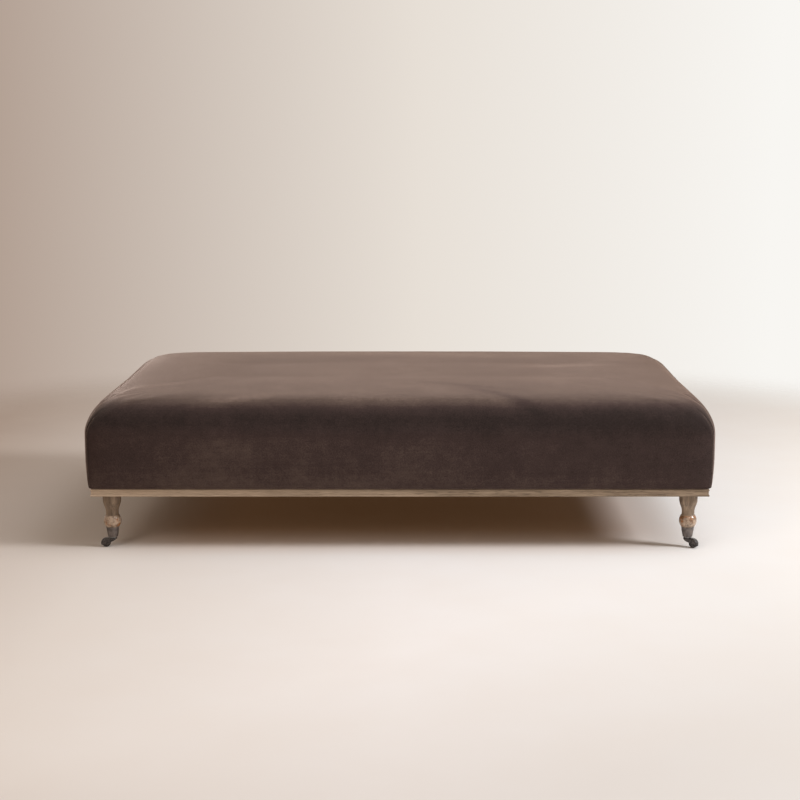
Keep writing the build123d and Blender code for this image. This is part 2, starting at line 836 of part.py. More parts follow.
def make_wheel(x, y, angle):
    """The wheel: a rounded tread, dished sides and a hub with a running bore."""
    with BuildPart() as wheel:
        with Locations(wheel_plane(x, y, angle)):
            Cylinder(wheel_radius, wheel_width)
        fillet(wheel.edges().filter_by(GeomType.CIRCLE), radius=wheel_edge_round)
        with Locations(wheel_plane(x, y, angle)):
            for side in (-1, 1):
                with Locations((0, 0, side * wheel_width / 2)):
                    Cylinder(wheel_dish_radius, 2 * wheel_dish_depth, mode=Mode.SUBTRACT)
            Cylinder(hub_diameter / 2, hub_width)
            Cylinder(axle_diameter / 2 + running_gap, hub_width, mode=Mode.SUBTRACT)
    return wheel.part


for corner, (side_x, side_y, angle) in corners.items():
    x = side_x * leg_x
    y = side_y * leg_y
    write(make_leg(x, y), f"leg_{corner}")
    write(make_cup(x, y), f"caster_cup_{corner}")
    write(make_horn(x, y, angle), f"caster_horn_{corner}")
    write(make_axle(x, y, angle), f"wheel_axle_{corner}")
    write(make_wheel(x, y, angle), f"wheel_{corner}")
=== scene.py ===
# %% [markdown]
# # An ottoman coffee table in velvet and weathered oak
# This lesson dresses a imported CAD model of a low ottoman: a stuffed velvet body on a thin oak
# plinth, four turned legs and four antique cup casters. The CAD pieces stay where they are. Blender
# gives each one its finish, and makes the soft body as a mesh of its own.

import json
import math

import bmesh
import bpy
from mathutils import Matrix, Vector, noise


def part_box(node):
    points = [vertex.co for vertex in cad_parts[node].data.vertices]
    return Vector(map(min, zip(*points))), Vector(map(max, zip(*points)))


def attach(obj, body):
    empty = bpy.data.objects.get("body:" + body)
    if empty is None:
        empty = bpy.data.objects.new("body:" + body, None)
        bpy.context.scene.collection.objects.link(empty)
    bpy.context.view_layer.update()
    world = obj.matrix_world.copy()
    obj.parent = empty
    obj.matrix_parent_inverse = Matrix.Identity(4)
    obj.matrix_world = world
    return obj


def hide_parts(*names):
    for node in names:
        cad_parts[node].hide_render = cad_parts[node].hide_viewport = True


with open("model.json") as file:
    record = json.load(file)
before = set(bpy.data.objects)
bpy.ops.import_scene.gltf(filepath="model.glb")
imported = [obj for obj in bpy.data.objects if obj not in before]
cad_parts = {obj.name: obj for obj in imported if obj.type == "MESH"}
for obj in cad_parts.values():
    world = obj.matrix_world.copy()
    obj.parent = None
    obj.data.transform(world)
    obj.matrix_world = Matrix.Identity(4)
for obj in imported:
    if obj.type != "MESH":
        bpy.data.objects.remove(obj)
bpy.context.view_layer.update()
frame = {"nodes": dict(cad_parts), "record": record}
record = frame["record"]
MM = 0.001

# %% [markdown]
# ## Helpers for finishes
# A colour is written as the hex value that a paint chart would give, and one function turns it to
# the linear numbers that the shader wants. Another adds a shader node with its settings and links.


# %% Colour and node helpers
def linear(hex_colour):
    """A shader colour from an sRGB hex value such as "#8d775f"."""
    values = [int(hex_colour[i : i + 2], 16) / 255 for i in (1, 3, 5)]
    curve = [v / 12.92 if v <= 0.04045 else ((v + 0.055) / 1.055) ** 2.4 for v in values]
    return (*curve, 1.0)


def put(tree, kind, sockets=None, **settings):
    """Adds a node. sockets maps an input's name or index to a value or to another output."""
    made = tree.nodes.new(kind)
    for name, value in settings.items():
        setattr(made, name, value)
    for name, value in (sockets or {}).items():
        if isinstance(value, bpy.types.NodeSocket):
            tree.links.new(value, made.inputs[name])
        else:
            made.inputs[name].default_value = value
    return made


def new_material(name):
    """A material with its tree, its Principled shader and its object coordinates."""
    material = bpy.data.materials.new(name)
    material.use_nodes = True
    tree = material.node_tree
    tree.nodes.clear()
    shader = put(tree, "ShaderNodeBsdfPrincipled")
    put(tree, "ShaderNodeOutputMaterial", {"Surface": shader.outputs[0]})
    place = put(tree, "ShaderNodeTexCoord").outputs["Object"]
    return material, tree, shader, place


def ramp(tree, factor, *stops):
    """A colour ramp fed by factor, with stops of (place, hex colour)."""
    made = put(tree, "ShaderNodeValToRGB", {"Fac": factor})
    elements = made.color_ramp.elements
    while len(elements) < len(stops):
        elements.new(0.5)
    for element, (at, hex_colour) in zip(elements, stops):
        element.position = at
        element.color = linear(hex_colour)
    return made.outputs["Color"]


def mottle(tree, place, size_mm, detail=3, roughness=0.5):
    """Noise with lumps of about size_mm. place may be stretched first."""
    sockets = {"Vector": place, "Scale": 1000 / size_mm, "Detail": detail, "Roughness": roughness}
    return put(tree, "ShaderNodeTexNoise", sockets).outputs[0]


noise_span = (0.3, 0.7)  # nearly all of a mottle's values lie between these


def stretched(tree, place, along):
    """Coordinates that draw a pattern out along X, Y or Z, so that grain runs that way."""
    grain_scale = 0.06
    scale = [1.0, 1.0, 1.0]
    scale["XYZ".index(along)] = grain_scale
    return put(tree, "ShaderNodeMapping", {"Vector": place, "Scale": scale}).outputs[0]


def between(tree, value, low, high, at_low=0.0, at_high=1.0):
    """value moved from the range low to high to the range at_low to at_high, and held there."""
    sockets = {0: value, 1: low, 2: high, 3: at_low, 4: at_high}
    return put(tree, "ShaderNodeMapRange", sockets).outputs[0]


def arithmetic(tree, operation, first, second):
    """Two values or outputs put together by ADD, SUBTRACT, MULTIPLY or MAXIMUM."""
    return put(tree, "ShaderNodeMath", {0: first, 1: second}, operation=operation).outputs[0]


def axes_of(tree, vector):
    """The outputs X, Y and Z of a vector."""
    return put(tree, "ShaderNodeSeparateXYZ", {0: vector}).outputs


def blend_colours(tree, factor, first, second):
    """Two colours, hex or linked, mixed by factor."""
    first, second = (linear(c) if isinstance(c, str) else c for c in (first, second))
    sockets = {0: factor, 6: first, 7: second}
    return put(tree, "ShaderNodeMix", sockets, data_type="RGBA").outputs[2]


def relief(tree, shader, height, depth_mm):
    """Bump of about depth_mm from a height pattern, set on the shader's normal."""
    sockets = {"Height": height, "Strength": 1.0, "Distance": depth_mm * MM}
    tree.links.new(put(tree, "ShaderNodeBump", sockets).outputs[0], shader.inputs["Normal"])


print("sRGB #808080 is", round(linear("#808080")[0], 3), "to the shader")

# %% [markdown]
# ## Where the soft body goes
# The body's size comes from its CAD cover. A tight upholstered body isn't a box: its sides draw in
# to the hem where the cloth is stapled, its shoulder is a broad quarter ellipse, and its top rises
# in a slight crown. The values below are that shape in millimetres.

# %% Body values
cover_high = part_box("velvet_cover")[1]
plinth_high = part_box("plinth_front")[1]
side_puff = 10.0  # how far the stuffed end panels stand out past the plain CAD solid
front_puff = 4.8  # the same for the front and the back
half_length = cover_high.x / MM + side_puff
half_depth = cover_high.y / MM + front_puff
plinth_top = plinth_high.z / MM
crown_rise = 9.0  # how much the middle of the top stands above the shoulder
body_height = cover_high.z / MM - plinth_top - crown_rise
crown_run = 330.0  # the crown has risen in full this far in from the sides
shoulder_width = 81.0
shoulder_drop = 90.0
shoulder_start = body_height - shoulder_drop
hem_draw = 8.2  # a gentle draw towards the hem, and a tight one near it
hem_draw_height = 96.0
hem_tuck = 5.7
hem_tuck_height = 20.0
hem_roll = 4.5  # the last few millimetres roll in, on to the plinth
hem_roll_height = 5.0
corner_low_radius = 13.0  # seen from above: tight low down, wide at the shoulder
corner_top_radius = 88.0
corner_growth_start = 154.0
side_bulge = 10.5  # how far a side bows out between its corners
hem_bulge = 1.0
crown_bulge = 20.0
turned_under = 50.0  # how much cloth goes under the frame
hem_lift = 0.2
held_height = 6.0  # the cloth is stapled to the frame below this
underside_lift = 2.2
swell = 2.0  # the top starts this much lower, because the cloth simulation lifts it
print("body", round(half_length * 2), "by", round(half_depth * 2), "by", round(body_height))

# %% [markdown]
# ## The rings of the body
# The cloth of one cover runs up a side, over the shoulder and across the top. So the mesh is rings
# that are stacked the same way, each a rounded rectangle with slightly bowed sides. Each ring is
# extruded from the last one, which keeps a clean line of vertices up every corner for its seam.
# The middle of the top is closed with a grid, which shades more evenly than one large face.

# %% Ring shapes
long_steps = 84
short_steps = 54
corner_steps = 12
ring_size = 2 * (long_steps + short_steps) + 4 * corner_steps
end_crowding = 0.11  # how much closer the points of a side stand beside the corners
panel_fullness = 26.0  # the higher, the sooner a side panel swells beside its corner seam


def smooth(share):
    share = min(max(share, 0.0), 1.0)
    return share * share * (3 - 2 * share)


def drawn_in(height):
    gentle = max(1 - height / hem_draw_height, 0)
    tight = max(1 - height / hem_tuck_height, 0)
    rolled = max(1 - height / hem_roll_height, 0)
    return hem_draw * gentle**2 + hem_tuck * tight**2 + hem_roll * rolled**2


def corner_radius(height):
    growth = smooth((height - corner_growth_start) / (body_height - corner_growth_start))
    return corner_low_radius + (corner_top_radius - corner_low_radius) * growth


def ring_places(height, inset, corner, bulge, fullness):
    """The ring's points in order, from the front end of the right side round to its start."""
    side_x = half_length - inset - bulge
    side_y = half_depth - inset - bulge
    turn_x = side_x - corner
    turn_y = side_y - corner
    sides = (
        ((side_x, -turn_y), (side_x, turn_y), (1, 0), short_steps, (turn_x, turn_y), 0),
        ((turn_x, side_y), (-turn_x, side_y), (0, 1), long_steps, (-turn_x, turn_y), 90),
        ((-side_x, turn_y), (-side_x, -turn_y), (-1, 0), short_steps, (-turn_x, -turn_y), 180),
        ((-turn_x, -side_y), (turn_x, -side_y), (0, -1), long_steps, (turn_x, -turn_y), 270),
    )
    z = (plinth_top + height) * MM
    places = []
    for start, end, out, steps, centre, angle in sides:
        for step in range(steps):
            share = step / steps
            share -= end_crowding * math.sin(2 * math.pi * share)
            bow = bulge * (1 - abs(2 * share - 1) ** fullness)
            x = start[0] + (end[0] - start[0]) * share + out[0] * bow
            y = start[1] + (end[1] - start[1]) * share + out[1] * bow
            places.append(Vector((x * MM, y * MM, z)))
        for step in range(corner_steps):
            turn = math.radians(angle + 90 * step / corner_steps)
            x = centre[0] + corner * math.cos(turn)
            y = centre[1] + corner * math.sin(turn)
            places.append(Vector((x * MM, y * MM, z)))
    return places


print("points in a ring", ring_size)

# %% Ring sizes, from the underside to where the crown is full
under_rings = 5  # rings on the underside, before the sides start
hem_heights = (0.9, 2.4, 4.6, 7.6, 11.6, 17, 24)
side_ring_gap = 12
shoulder_rings = 17
shoulder_turn = 86  # degrees of the quarter ellipse that the rings take
crown_rings = 13
plain_bow = 2.0  # the fullness of an even bow from corner to corner


def body_rings():
    """(height, inset, corner, bulge, fullness) of each ring."""
    hem_inset = hem_draw + hem_tuck + hem_roll
    low = corner_low_radius
    rings = [
        (underside_lift, turned_under + 12, low / 2, hem_bulge, plain_bow),
        (underside_lift, turned_under, low / 2, hem_bulge, plain_bow),
        (hem_lift, turned_under - 3, low / 2, hem_bulge, plain_bow),
        (hem_lift, hem_inset + 8, low * 0.8, hem_bulge, plain_bow),
        (hem_lift, hem_inset + 1.2, low, hem_bulge, plain_bow),
    ]
    heights = list(hem_heights)
    while heights[-1] < shoulder_start - side_ring_gap - 1:
        heights.append(heights[-1] + side_ring_gap)
    for height in heights:
        draw = drawn_in(height)
        bulge = hem_bulge + (side_bulge - hem_bulge) * (1 - min(draw / (hem_draw + hem_tuck), 1))
        rings.append((height, draw, corner_radius(height), bulge, panel_fullness))
    for step in range(shoulder_rings):
        share = step / (shoulder_rings - 1)
        angle = math.radians(shoulder_turn * share)
        height = shoulder_start + (shoulder_drop - swell) * math.sin(angle)
        inset = shoulder_width * (1 - math.cos(angle))
        fullness = panel_fullness - (panel_fullness - plain_bow) * share
        rings.append((height, inset, corner_radius(height), side_bulge, fullness))
    for step in range(1, crown_rings + 1):
        share = step / crown_rings
        inset = shoulder_width + (crown_run - shoulder_width) * share
        height = body_height - swell + crown_rise * (1 - (1 - share) ** 2)
        bulge = side_bulge + (crown_bulge - side_bulge) * share
        rings.append((height, inset, corner_top_radius, bulge, plain_bow))
    return rings


ring_sizes = body_rings()
print("rings", len(ring_sizes))


# %% A helper that extrudes one ring after another
def stack_rings(mesh, rings):
    """Extrudes closed rings of points on each other. Returns the vertices of every ring."""
    size = len(rings[0])
    bmesh.ops.create_circle(mesh, segments=size, radius=1)
    mesh.verts.ensure_lookup_table()
    loop = mesh.verts[-size:]
    made = [loop]
    for number, places in enumerate(rings):
        if number:
            edges = [mesh.edges.get((loop[i - 1], loop[i])) for i in range(size)]
            grown = bmesh.ops.extrude_edge_only(mesh, edges=edges)["geom"]
            fresh = {part for part in grown if isinstance(part, bmesh.types.BMVert)}
            around = [[edge.other_vert(vert) for edge in vert.link_edges] for vert in loop]
            loop = [next(vert for vert in others if vert in fresh) for others in around]
            made.append(loop)
        for vert, place in zip(loop, places):
            vert.co = place
    return made


def to_object(mesh, name):
    """An object from a bmesh, with smooth faces and its place in its mesh."""
    bmesh.ops.recalc_face_normals(mesh, faces=mesh.faces)
    for face in mesh.faces:
        face.smooth = True
    data = bpy.data.meshes.new(name)
    mesh.to_mesh(data)
    mesh.free()
    piece = bpy.data.objects.new(name, data)
    bpy.context.scene.collection.objects.link(piece)
    return piece


# %% Build the body
body_mesh = bmesh.new()
loops = stack_rings(body_mesh, [ring_places(*sizes) for sizes in ring_sizes])
half_corner = corner_steps // 2
front_start = ring_size - corner_steps - long_steps - half_corner
back_start = short_steps + half_corner
for loop in (loops[0], loops[-1]):
    rails = []
    for start in (front_start, back_start):
        for step in range(start, start + long_steps + corner_steps):
            pair = (loop[step % ring_size], loop[(step + 1) % ring_size])
            rails.append(body_mesh.edges.get(pair))
    bmesh.ops.grid_fill(body_mesh, edges=rails)
body_mesh.verts.index_update()
seam_columns = []
for corner in range(4):
    sides_before = (short_steps, long_steps, short_steps, long_steps)[: corner + 1]
    column = sum(sides_before) + corner * corner_steps + half_corner
    seam_columns.append([loop[column].index for loop in loops[under_rings:]])
held_rings = {v.index for v in body_mesh.verts if v.co.z / MM < plinth_top + held_height}
cushion = to_object(body_mesh, "upholstered_body")
print("body rings", len(loops), "faces", len(cushion.data.polygons))

# %% [markdown]
# ## Fill the body
# Foam pushes a real cover out between the lines where it is held: the stapled hem and the four
# corner seams. Cloth simulation with a little inside pressure does the same. It runs without
# gravity for a short time, and each point's move is eased towards a cap, so that the shape keeps
# its size. The result is written to the mesh, and the modifier goes.

# %% Cloth simulation
sim_frames = 20
sim_pressure = 0.15
swell_cap = 6.0
seam_hold = 0.9  # how firmly the lower rings of a corner seam are held
seam_held_rings = 16
seam_freed_rings = 20  # over so many more rings the hold fades out


def inflate(piece, held, pressure, cap_mm):
    """Swells a closed mesh by cloth pressure. held maps a vertex to how firmly it is held."""
    group = piece.vertex_groups.new(name="held")
    for index, weight in held.items():
        group.add([index], weight, "REPLACE")
    rest = [vert.co.copy() for vert in piece.data.vertices]
    cloth = piece.modifiers.new("cloth", "CLOTH")
    settings = cloth.settings
    settings.quality = 6
    settings.mass = 0.4
    settings.tension_stiffness = 40
    settings.compression_stiffness = 40
    settings.shear_stiffness = 20
    settings.bending_stiffness = 4
    settings.use_pressure = True
    settings.uniform_pressure_force = pressure
    settings.effector_weights.gravity = 0
    settings.vertex_group_mass = group.name
    cloth.collision_settings.use_collision = False
    cloth.point_cache.frame_start = 1
    cloth.point_cache.frame_end = sim_frames
    scene = bpy.context.scene
    for number in range(1, sim_frames + 1):
        scene.frame_set(number)
    shown = piece.evaluated_get(bpy.context.evaluated_depsgraph_get()).data
    moves = [after.co - before for after, before in zip(shown.vertices, rest)]
    piece.modifiers.remove(cloth)
    piece.vertex_groups.remove(group)
    scene.frame_set(1)
    cap = cap_mm * MM
    for vert, before, move in zip(piece.data.vertices, rest, moves):
        size = move.length
        eased = cap * math.tanh(size / cap)
        vert.co = before + (move * (eased / size) if size > 0 else move)
    return max(move.length for move in moves) / MM


held = {index: 1.0 for index in held_rings}
for column in seam_columns:
    for step, index in enumerate(column):
        hold = seam_hold * (1 - smooth((step - seam_held_rings) / seam_freed_rings))
        held[index] = max(held.get(index, 0), hold)
print("cloth moved up to", round(inflate(cushion, held, sim_pressure, swell_cap), 2), "mm")

# %% [markdown]
# ## Smooth the body and shape its corners
# One subdivision rounds the mesh. The seams come after it: beside a corner seam the cloth is
# pulled into a narrow valley, and small folds fan out over the shoulder where it has to go round.

# %% Subdivide
seam_lines = [[cushion.data.vertices[i].co.copy() for i in column] for column in seam_columns]
bpy.context.view_layer.objects.active = cushion
cushion.select_set(True)
subdivision = cushion.modifiers.new("subdivision", "SUBSURF")
subdivision.levels = 1
subdivision.render_levels = 1
bpy.ops.object.modifier_apply(modifier=subdivision.name)
print("body faces", len(cushion.data.polygons))

# %% Seam and fold values
hem_clear = 1.0  # below this the cloth lies on the plinth and stays as it is
seam_reach = 60.0  # nothing of a seam shows farther from its corner than this
seam_top = shoulder_start + 0.8 * shoulder_drop
valley_width = 6.0
valley_depth = 2.0
valley_rise = 12.0  # the valley gets its depth over this height
fold_count = 9
fold_depth = 0.45
fold_reach = 210.0
fold_start = shoulder_start + 20
fold_rise = 30.0
fold_centre = shoulder_width + 120  # the folds fan out round this point of each corner
fold_wander = 3.0
fold_shift = 1.7  # so that the left and the right corners differ
fold_even, fold_uneven = 0.6, 0.8
wander_scale = 9.0
wander_height = 0.3


def corner_of(place):
    """How far a point is from its corner's diagonal, from the nearer end and the nearer side."""
    x, y = abs(place.x) / MM, abs(place.y) / MM
    from_x, from_y = half_length - x, half_depth - y
    return (from_x - from_y) / math.sqrt(2), from_x, from_y


print("seams end", round(seam_top), "mm above the plinth")

# %% Seam valleys and shoulder folds
normals = [vert.normal.copy() for vert in cushion.data.vertices]
for vert, normal in zip(cushion.data.vertices, normals):
    off_diagonal, from_x, from_y = corner_of(vert.co)
    height = vert.co.z / MM - plinth_top
    if height < hem_clear or min(from_x, from_y) > fold_reach:
        continue
    shift = 0.0
    valley = math.exp(-((off_diagonal / valley_width) ** 2))
    fade = 1 - smooth((height - shoulder_start) / (seam_top - shoulder_start))
    if max(from_x, from_y) < seam_reach:
        shift -= valley_depth * valley * fade * smooth(height / valley_rise)
    reach = math.hypot(from_x - shoulder_width, from_y - shoulder_width)
    if height > fold_start and reach < fold_reach:
        heading = math.atan2(from_y - fold_centre, from_x - fold_centre)
        spot = (vert.co.x * wander_scale, vert.co.y * wander_scale, wander_height)
        wander = noise.noise(Vector(spot))
        turn = heading * fold_count * 2 + fold_wander * wander + fold_shift * (vert.co.x > 0)
        strength = (1 - smooth(reach / fold_reach)) * smooth((height - fold_start) / fold_rise)
        shift += fold_depth * math.sin(turn) * strength * (fold_even + fold_uneven * wander)
    vert.co += normal * shift * MM
print("seam valleys", valley_depth, "mm deep")

# %% [markdown]
# ## Brushed nap, with painted light and shade
# Velvet's pile leans where a hand or a brush last pushed it, and the patches that lean another way
# look lighter or darker. An attribute on the vertices holds that lean, and painted light and shade
# with it. It has slow drifts and a few long strokes where someone brushed the cloth. On top of these
# it holds painted light, a lighter top and a lighter hem, and painted shade, a dark band where the
# shoulder bends and a dark line along each seam. A pattern in the material breaks it up further.

# %% Brush strokes
strokes = [
    # x, y and z of the middle in metres, half length along X, half width, lean, slope of the stroke
    (0.30, -0.46, 0.44, 0.09, 0.028, -0.85, -0.9),
    (0.22, -0.34, 0.45, 0.15, 0.022, -0.6, -0.45),
    (0.14, -0.41, 0.45, 0.15, 0.05, 0.06, -0.45),
    (0.55, 0.09, 0.45, 0.16, 0.03, 0.5, 0.1),
    (-0.74, -0.30, 0.45, 0.10, 0.03, 0.55, 0.3),
    (-0.46, -0.49, 0.45, 0.12, 0.03, 0.5, 0.25),
    (-0.35, 0.20, 0.45, 0.30, 0.08, -0.35, 0.2),
    (0.10, 0.36, 0.45, 0.34, 0.07, 0.3, -0.1),
    (-0.50, -0.57, 0.33, 0.07, 0.12, 0.14, 0.2),
    (0.05, -0.57, 0.30, 0.09, 0.11, 0.12, -0.3),
    (0.62, -0.57, 0.34, 0.20, 0.06, -0.15, 0.15),
    (0.30, 0.57, 0.31, 0.16, 0.07, 0.35, -0.2),
    (-0.45, 0.57, 0.28, 0.13, 0.08, -0.3, 0.25),
]
print("strokes", len(strokes))

# %% Paint the nap, with painted light and shade
slow_swing, medium_swing = 0.24, 0.12
side_lean = -0.32
top_painted_light = 0.8  # painted light: the top is made this much lighter than the sides
bright_from, bright_to = 230.0, 258.0  # over these heights the look goes from side to top
band_painted_shade = -0.72  # painted shade: a darker band just below the shoulder
band_height, band_width = 203.0, 36.0
low_painted_light = 0.28  # painted light: lighter towards the hem, light thrown up off the floor
low_height = 90.0
# painted shade: a dark line in each corner seam's valley
seam_painted_shade = -0.8
seam_shade_width = 5.0
stroke_climb = 0.2  # how much of a stroke's slope goes upwards
stroke_cut = 3  # strokes are left out beyond so many half widths


def drift(place, scales, start):
    """Noise at a point, with a scale and a start for each axis."""
    return noise.noise(Vector([place[i] * scales[i] + start[i] for i in range(3)]))


def nap_and_painted_light_at(place):
    """The lean of the pile at a point, with painted light and shade, from about -1 to 1."""
    slow = drift(place, (1.6, 2.6, 4), (0, 0, 5))
    medium = drift(place, (5, 8, 9), (8, 0, 0))
    height = place.z / MM - plinth_top
    # painted light: the top is lighter than the sides
    on_top = smooth((height - bright_from) / (bright_to - bright_from))
    # painted shade: the darker band below the shoulder
    band = math.exp(-(((height - band_height) / band_width) ** 2))
    lean_and_painted_light = slow_swing * slow + medium_swing * medium + top_painted_light * on_top + side_lean + band_painted_shade * band
    # painted light: lighter towards the hem
    lean_and_painted_light += low_painted_light * (1 - smooth(height / low_height))
    off_diagonal, from_x, from_y = corner_of(place)
    # painted shade along the seam's valley
    if max(from_x, from_y) < seam_reach:
        lean_and_painted_light += seam_painted_shade * math.exp(-((off_diagonal / seam_shade_width) ** 2)) * (1 - on_top)
    for x, y, z, half_run, half_width, amount, slope in strokes:
        along = place.x - x
        climb = stroke_climb * slope * along
        across = math.hypot(place.y - y - slope * along, place.z - z - climb)
        if abs(along) < stroke_cut * half_run and across < stroke_cut * half_width:
            lean_and_painted_light += amount * math.exp(-((along / half_run) ** 2) - (across / half_width) ** 2)
    return lean_and_painted_light


nap_and_painted_light = cushion.data.attributes.new("nap_and_painted_light", "FLOAT", "POINT")
nap_and_painted_light.data.foreach_set("value", [nap_and_painted_light_at(vert.co) for vert in cushion.data.vertices])
cushion.data.update()
print("nap painted on", len(nap_and_painted_light.data), "vertices")

# %% [markdown]
# ## Velvet
# Cotton velvet is a dense short pile on a woven ground. Face on it looks deep, because light goes
# down between the fibres. At a shallow angle the fibre tips catch the light, so the edges and the
# top seen from low down look paler. The shader's sheen does that. Its bump is the pile, drawn at
# 1.6 mm because the real 0.3 mm tufts are too fine to show.

# %% Velvet material
lean_range = 1.1
tuft_mm = 1.6
velvet, tree, shader, place = new_material("brushed_cotton_velvet")
# The attribute brings the nap with painted light and shade: a lighter top and hem, a dark shoulder
# band and dark seam lines.
lean_and_painted_light = put(tree, "ShaderNodeAttribute", attribute_name="nap_and_painted_light").outputs["Fac"]
patterns = (
    # place, size in mm, how much it changes the lean
    (place, 130, 0.16),
    (place, 22, 0.12),
    (place, 4.5, 0.16),
    (stretched(tree, place, "X"), 7, 0.06),
)
for pattern_place, size_mm, swing in patterns:
    pattern = mottle(tree, pattern_place, size_mm, 3, 0.55)
    pattern = between(tree, pattern, *noise_span, -swing, swing)
    lean_and_painted_light = arithmetic(tree, "ADD", lean_and_painted_light, pattern)
tone = between(tree, lean_and_painted_light, -lean_range, lean_range)
colour = ramp(tree, tone, (0.0, "#1b1312"), (0.4, "#382b29"), (0.72, "#564841"), (1.0, "#78675e"))
tufts = mottle(tree, place, tuft_mm, 2, 0.6)
colour = blend_colours(tree, between(tree, tufts, 0.35, 0.75, 0.0, 0.22), colour, "#6c5c56")
tree.links.new(colour, shader.inputs["Base Color"])
tree.links.new(between(tree, tone, 0, 1, 0.92, 0.78), shader.inputs["Roughness"])
shader.inputs["Sheen Weight"].default_value = 1.0
shader.inputs["Sheen Roughness"].default_value = 0.32
shader.inputs["Sheen Tint"].default_value = linear("#d3bfb4")
shader.inputs["Specular IOR Level"].default_value = 0.15
relief(tree, shader, arithmetic(tree, "ADD", lean_and_painted_light, tufts), 0.35)
cushion.data.materials.append(velvet)
print("material", velvet.name)

# %% Set the body on its frame
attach(cushion, "body")
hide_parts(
    "velvet_cover", "fibre_wrap", "foam_top_pad",
    "foam_side_front", "foam_side_back", "foam_side_left", "foam_side_right",
)
print("body replaces the cover and its foam")

# %% [markdown]
# ## Corner seams
# Two panels of velvet meet in a plain seam up each corner, and the folded edges inside push a
# narrow ridge out. A ridge as thin as a cord would need a very fine body mesh, so each one is its
# own slim strip: a small oval section, extruded up the seam's line and drawn flat at its top.

# %% Seam ridges
ridge_width = 2.6
ridge_height = 1.5
ridge_fade_start = shoulder_start + 12
ridge_sink = 0.5  # where the ridge has faded out, it lies this deep
# painted highlight: the ridge's lean is set lighter than the cloth beside it
ridge_painted_highlight = 0.35
section_points = 8
for line, name in zip(seam_lines, ("rear_right", "rear_left", "front_left", "front_right")):
    side = Vector((1 if "right" in name else -1, -1 if "front" in name else 1, 0)).normalized()
    path = [point for point in line if point.z / MM - plinth_top < seam_top]
    rings = []
    for step, point in enumerate(path):
        ahead = path[min(step + 1, len(path) - 1)] - path[max(step - 1, 0)]
        across = Vector((-side.y, side.x, 0))
        outward = across.cross(ahead).normalized()
        if outward.dot(side) < 0:
            outward = -outward
        height = point.z / MM - plinth_top
        full = 1 - smooth((height - ridge_fade_start) / (seam_top - ridge_fade_start))
        sunk = -valley_depth * (1 - smooth((height - shoulder_start) / shoulder_drop))
        ring = []
        for corner in range(section_points):
            turn = 2 * math.pi * corner / section_points
            sideways = across * math.cos(turn) * ridge_width / 2
            lift = math.sin(turn) * ridge_height * full + sunk - ridge_sink * (1 - full)
            ring.append(point + (sideways + outward * lift) * MM)
        rings.append(ring)
    ridge_mesh = bmesh.new()
    ends = stack_rings(ridge_mesh, rings)
    for loop in (ends[0], ends[-1]):
        bmesh.ops.contextual_create(ridge_mesh, geom=loop)
    ridge = to_object(ridge_mesh, f"corner_seam_{name}")
    # painted highlight along the ridge
    nap_and_painted_light = ridge.data.attributes.new("nap_and_painted_light", "FLOAT", "POINT")
    nap_and_painted_light.data.foreach_set("value", [ridge_painted_highlight] * len(ridge.data.vertices))
    ridge.data.materials.append(velvet)
    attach(ridge, "body")
print("corner seams", len(seam_lines))

# %% [markdown]
# ## Weathered oak
# The plinth is oak with a grey-brown weathered stain and almost no gloss. Oak shows long straight
# grain, broad bands where the rings run out, and short dark open pores. All three are noise that is
# drawn out along the board, so the front and back boards and the two end boards each need their own
# direction. Some patches are paler, where the stain has rubbed off.


# %% Oak material
def weathered_oak(name, along, light, middle, dark, worn, rough=0.62):
    """Oak with its grain along an axis of the object."""
    band_mm, figure_mm, patch_mm, pore_mm = 20, 6.0, 90, 1.5
    figure_share, patch_share, pore_share = 0.65, 0.45, 0.7
    material, tree, shader, place = new_material(name)
    drawn = stretched(tree, place, along)
    bands = mottle(tree, drawn, band_mm)
    figure = between(tree, mottle(tree, drawn, figure_mm, 4, 0.6), 0.36, 0.66)
    colour = ramp(tree, bands, (0.25, dark), (0.42, middle), (0.75, light))
    colour = blend_colours(tree, between(tree, figure, 0, 1, 0, figure_share), colour, dark)
    patches = between(tree, mottle(tree, place, patch_mm), 0.45, 0.75, 0, patch_share)
    colour = blend_colours(tree, patches, colour, worn)
    pores = between(tree, mottle(tree, drawn, pore_mm, 1, 0.4), 0.62, 0.74)
    colour = blend_colours(tree, between(tree, pores, 0, 1, 0, pore_share), colour, "#3a2f26")
    tree.links.new(colour, shader.inputs["Base Color"])
    roughness = between(tree, figure, 0, 1, rough - 0.08, rough + 0.1)
    tree.links.new(roughness, shader.inputs["Roughness"])
    deep = arithmetic(tree, "ADD", figure, pores)
    relief(tree, shader, between(tree, deep, 0, 2, 1, 0), 0.35)
    shader.inputs["Specular IOR Level"].default_value = 0.35
    return material, tree, shader, place, colour


plinth_hexes = ("#b29d86", "#93816c", "#604f3e", "#b29f89")
left_light_from, left_light_to = -0.95, 0.3  # in metres along X: painted light, the boards are palest at the first
left_light_share = 0.55
oak_long, tree, shader, place, colour = weathered_oak(
    "weathered_oak_along_the_length", "X", *plinth_hexes
)
# painted light: the long boards are made paler towards the left end
left_painted_light = between(tree, axes_of(tree, place)["X"], left_light_from, left_light_to, left_light_share, 0.0)
tree.links.new(blend_colours(tree, left_painted_light, colour, "#ccb7a0"), shader.inputs["Base Color"])
oak_short = weathered_oak("weathered_oak_along_the_depth", "Y", *plinth_hexes)[0]
print("materials", oak_long.name, oak_short.name)

# %% [markdown]
# ## Turned legs
# The legs are turned from the same oak, so their grain runs upwards. They are stained darker, and
# the ball is rubbed and waxed, which makes it warmer and glossier than the rest. The height of a
# point tells the shader which part it is on.

